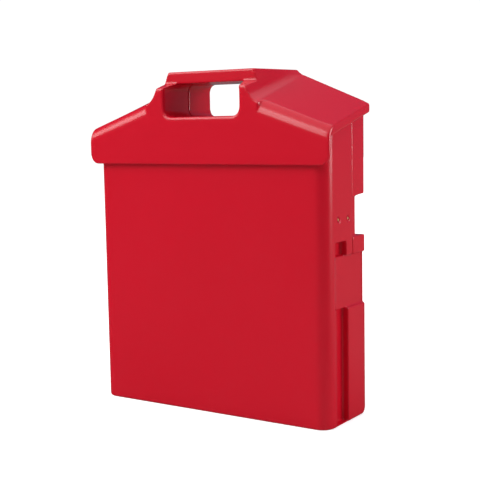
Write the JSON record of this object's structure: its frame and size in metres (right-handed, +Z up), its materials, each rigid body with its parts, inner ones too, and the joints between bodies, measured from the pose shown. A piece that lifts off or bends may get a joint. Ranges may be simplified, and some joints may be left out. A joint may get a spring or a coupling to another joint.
{
  "type": "portable fire alarm box",
  "caption": "Flat red plastic fire alarm box with a lift-off pitched hood, through hand slot, side guide grooves and sprung side contacts.",
  "frame": {"origin": "middle of the underside", "axes": "+X across the front to the right, +Y from the front to the flat back, +Z up"},
  "size_m": [0.292, 0.085, 0.35],
  "materials": {
    "red_plastic": "glossy moulded, faint mould texture",
    "steel": "zinc plated",
    "brass": "satin",
    "deck_plastic": "fine texture",
    "black_plastic": "moulded",
    "gasket_rubber": "matt",
    "board_green": "solder mask",
    "terminal_plastic": "moulded",
    "plated_metal": "nickel plated",
    "button_plastic": "polished",
    "lamp_glass": "clear",
    "cone_film": "thin film"
  },
  "bodies": {
    "case": {"alarm_relays": "black_plastic", "battery": "black_plastic", "battery_pad": "gasket_rubber", "battery_strap": "steel", "battery_terminals": "plated_metal", "board_screws": "steel", "body_shell": "red_plastic", "bolt_keeper": "steel", "button_collar": "black_plastic", "button_spring": "steel", "button_switch": "black_plastic", "capacitors": "plated_metal", "case_screws": "steel", "contact_bushes": "red_plastic", "contact_carrier": "black_plastic", "contact_springs": "steel", "control_board": "board_green", "control_deck": "deck_plastic", "deck_gasket": "gasket_rubber", "deck_screws": "steel", "fuse_clips": "brass", "keeper_screws": "steel", "key_switch_body": "plated_metal", "key_switch_nut": "plated_metal", "lamp_holder": "plated_metal", "lamp_lens": "lamp_glass", "logic_chip": "black_plastic", "radio_antenna": "black_plastic", "radio_module": "plated_metal", "rear_cover": "red_plastic", "reed_switch": "black_plastic", "sounder_body": "black_plastic", "sounder_cone": "cone_film", "sounder_grille": "deck_plastic", "sounder_magnet": "plated_metal", "strap_screws": "steel", "supply_fuse": "lamp_glass", "terminal_blocks": "terminal_plastic", "wall_inserts": "brass"},
    "hood": {"hood": "red_plastic", "hood_magnet": "plated_metal"},
    "bolt": {"hood_bolt": "steel"},
    "button": {"alarm_button": "button_plastic"},
    "key": {"key_barrel": "plated_metal"},
    "pin_front": {"contact_pin_front": "brass"},
    "pin_rear": {"contact_pin_rear": "brass"}
  },
  "joints": [
    {"name": "hood_lift", "type": "slide", "parent": "case", "child": "hood", "axis": [0, 0, 1], "range_m": [0, 0.12]},
    {"name": "bolt_slide", "type": "slide", "parent": "hood", "child": "bolt", "axis": [1, 0, 0], "range_m": [0, 0.008]},
    {"name": "alarm_press", "type": "slide", "parent": "case", "child": "button", "axis": [0, 0, -1], "range_m": [0, 0.004], "stiffness_N_per_m": 600, "springref_m": -0.002, "deforming": ["button_spring"]},
    {"name": "key_turn", "type": "hinge", "parent": "case", "child": "key", "pos_m": [0.084, 0.0035, 0.262], "axis": [0, 0, 1], "range_deg": [0, 90]},
    {"name": "pin_front_press", "type": "slide", "parent": "case", "child": "pin_front", "axis": [-1, 0, 0], "range_m": [0, 0.0015], "stiffness_N_per_m": 500, "springref_m": -0.001},
    {"name": "pin_rear_press", "type": "slide", "parent": "case", "child": "pin_rear", "axis": [-1, 0, 0], "range_m": [0, 0.0015], "stiffness_N_per_m": 500, "springref_m": -0.001}
  ]
}
